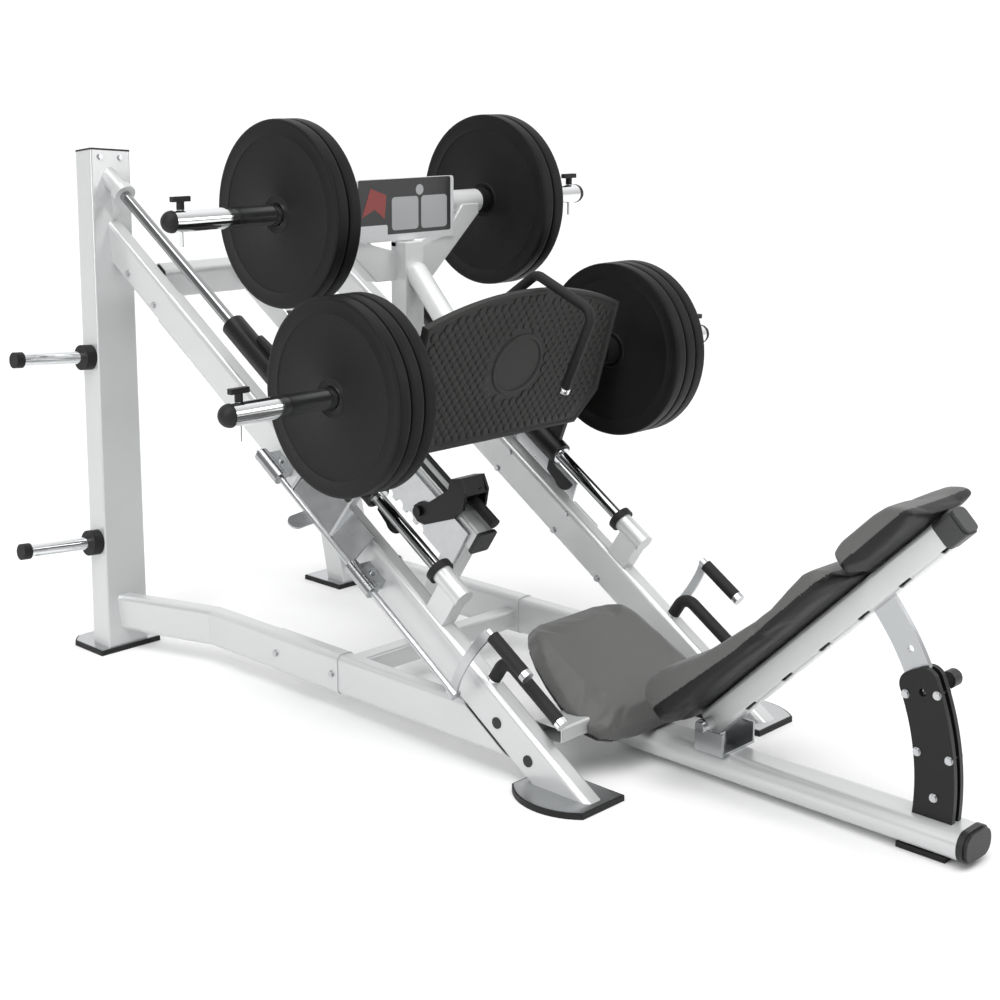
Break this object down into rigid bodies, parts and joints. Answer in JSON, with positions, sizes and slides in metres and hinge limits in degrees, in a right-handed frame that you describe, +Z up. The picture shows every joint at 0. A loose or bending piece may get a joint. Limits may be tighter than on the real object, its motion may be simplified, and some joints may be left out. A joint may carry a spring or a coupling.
{
  "type": "leg press machine",
  "caption": "Plate-loaded leg press: sliding carriage on inclined guide rods, foot plate, seat, tilting backrest, release levers and weight-plate horns.",
  "frame": {"origin": "on the floor, under the centre of the machine's bounding box", "axes": "+Y from the seat to the rear columns, +Z up, +X to the side of the foot-plate handle (the seated user's right)"},
  "size_m": [1.658, 2.5404, 1.4333],
  "materials": {
    "white_paint": "satin powder coat",
    "zinc_steel": "brushed, zinc plated",
    "chrome": "polished",
    "black_rubber": "matte, moulded",
    "black_plastic": "fine grain",
    "black_paint": "satin powder coat",
    "upholstery": "matte vinyl with fine grain",
    "placard_print": "printed board, plain blocks only"
  },
  "bodies": {
    "frame": {"left_column": "white_paint", "right_column": "white_paint", "left_rail": "white_paint", "right_rail": "white_paint", "lower_beams": "white_paint", "joint_sleeves": "white_paint", "foot_plates": "zinc_steel", "foot_pads": "black_rubber", "end_caps": "black_plastic", "rear_cross_beam": "white_paint", "main_beam": "white_paint", "centre_beam": "white_paint", "wear_strips": "black_plastic", "rack_plate": "zinc_steel", "guide_rods": "chrome", "rod_top_mounts": "white_paint", "rod_bottom_mounts": "zinc_steel", "rod_bumpers": "black_rubber", "lever_collars": "zinc_steel", "fixed_handles": "chrome", "handle_grips": "black_rubber", "storage_horns": "chrome", "storage_rubbers": "black_rubber", "seat_pan": "black_plastic", "seat_pad": "upholstery", "hinge_bracket": "zinc_steel", "hinge_pin": "chrome", "arc_guide_plates": "black_paint", "frame_bolts": "zinc_steel"},
    "backrest": {"backrest_tube": "white_paint", "backrest_cap": "black_plastic", "back_pad": "upholstery", "head_pad": "upholstery", "support_arc": "zinc_steel"},
    "adjuster_pin": {"pull_pin": "chrome", "pull_knob": "black_plastic"},
    "left_release": {"left_lever": "zinc_steel", "left_lever_grip": "black_rubber"},
    "right_release": {"right_lever": "zinc_steel", "right_lever_grip": "black_rubber"},
    "carriage": {"carriage_frame": "black_paint", "bearing_housings": "black_paint", "linear_bushings": "chrome", "mast": "white_paint", "foot_plate": "black_paint", "foot_mat": "black_rubber", "plate_horns": "chrome", "horn_rubbers": "black_rubber", "step_handle": "black_paint", "placard": "placard_print"},
    "left_upper_stack": {"left_upper_plates": "black_rubber"},
    "right_upper_stack": {"right_upper_plates": "black_rubber"},
    "left_lower_stack": {"left_lower_plates": "black_rubber"},
    "right_lower_stack": {"right_lower_plates": "black_rubber"},
    "left_upper_lock": {"left_upper_pin": "chrome"},
    "right_upper_lock": {"right_upper_pin": "chrome"},
    "left_lower_lock": {"left_lower_pin": "chrome"},
    "right_lower_lock": {"right_lower_pin": "chrome"},
    "stop": {"range_stop": "black_paint", "range_stop_grip": "black_rubber"}
  },
  "joints": [
    {"name": "carriage_slide", "type": "slide", "parent": "frame", "child": "carriage", "axis": [0, 0.8358, 0.549], "range_m": [0, 0.5]},
    {"name": "left_release_turn", "type": "hinge", "parent": "frame", "child": "left_release", "pos_m": [-0.388, 0.1147, 0.38865], "axis": [0, -0.8358, -0.549], "range_deg": [0, 35]},
    {"name": "right_release_turn", "type": "hinge", "parent": "frame", "child": "right_release", "pos_m": [0.388, 0.1147, 0.38865], "axis": [0, 0.8358, 0.549], "range_deg": [0, 35]},
    {"name": "backrest_tilt", "type": "hinge", "parent": "frame", "child": "backrest", "pos_m": [0, -0.637, 0.128], "axis": [-1, 0, 0], "range_deg": [0, 18.2]},
    {"name": "adjuster_pin_slide", "type": "slide", "parent": "frame", "child": "adjuster_pin", "axis": [-1, 0, 0], "range_m": [0, 0.022]},
    {"name": "range_stop_slide", "type": "slide", "parent": "frame", "child": "stop", "axis": [0, 0.8358, 0.549], "range_m": [0, 0.36]},
    {"name": "left_upper_plates_slide", "type": "slide", "parent": "carriage", "child": "left_upper_stack", "axis": [-1, 0, 0], "range_m": [0, 0.246]},
    {"name": "left_lower_plates_slide", "type": "slide", "parent": "carriage", "child": "left_lower_stack", "axis": [-1, 0, 0], "range_m": [0, 0.22]},
    {"name": "left_upper_pin_lift", "type": "slide", "parent": "carriage", "child": "left_upper_lock", "axis": [0, 0, 1], "range_m": [0, 0.09]},
    {"name": "left_lower_pin_lift", "type": "slide", "parent": "carriage", "child": "left_lower_lock", "axis": [0, 0, 1], "range_m": [0, 0.09]},
    {"name": "right_upper_plates_slide", "type": "slide", "parent": "carriage", "child": "right_upper_stack", "axis": [1, 0, 0], "range_m": [0, 0.246]},
    {"name": "right_lower_plates_slide", "type": "slide", "parent": "carriage", "child": "right_lower_stack", "axis": [1, 0, 0], "range_m": [0, 0.22]},
    {"name": "right_upper_pin_lift", "type": "slide", "parent": "carriage", "child": "right_upper_lock", "axis": [0, 0, 1], "range_m": [0, 0.09]},
    {"name": "right_lower_pin_lift", "type": "slide", "parent": "carriage", "child": "right_lower_lock", "axis": [0, 0, 1], "range_m": [0, 0.09]}
  ]
}
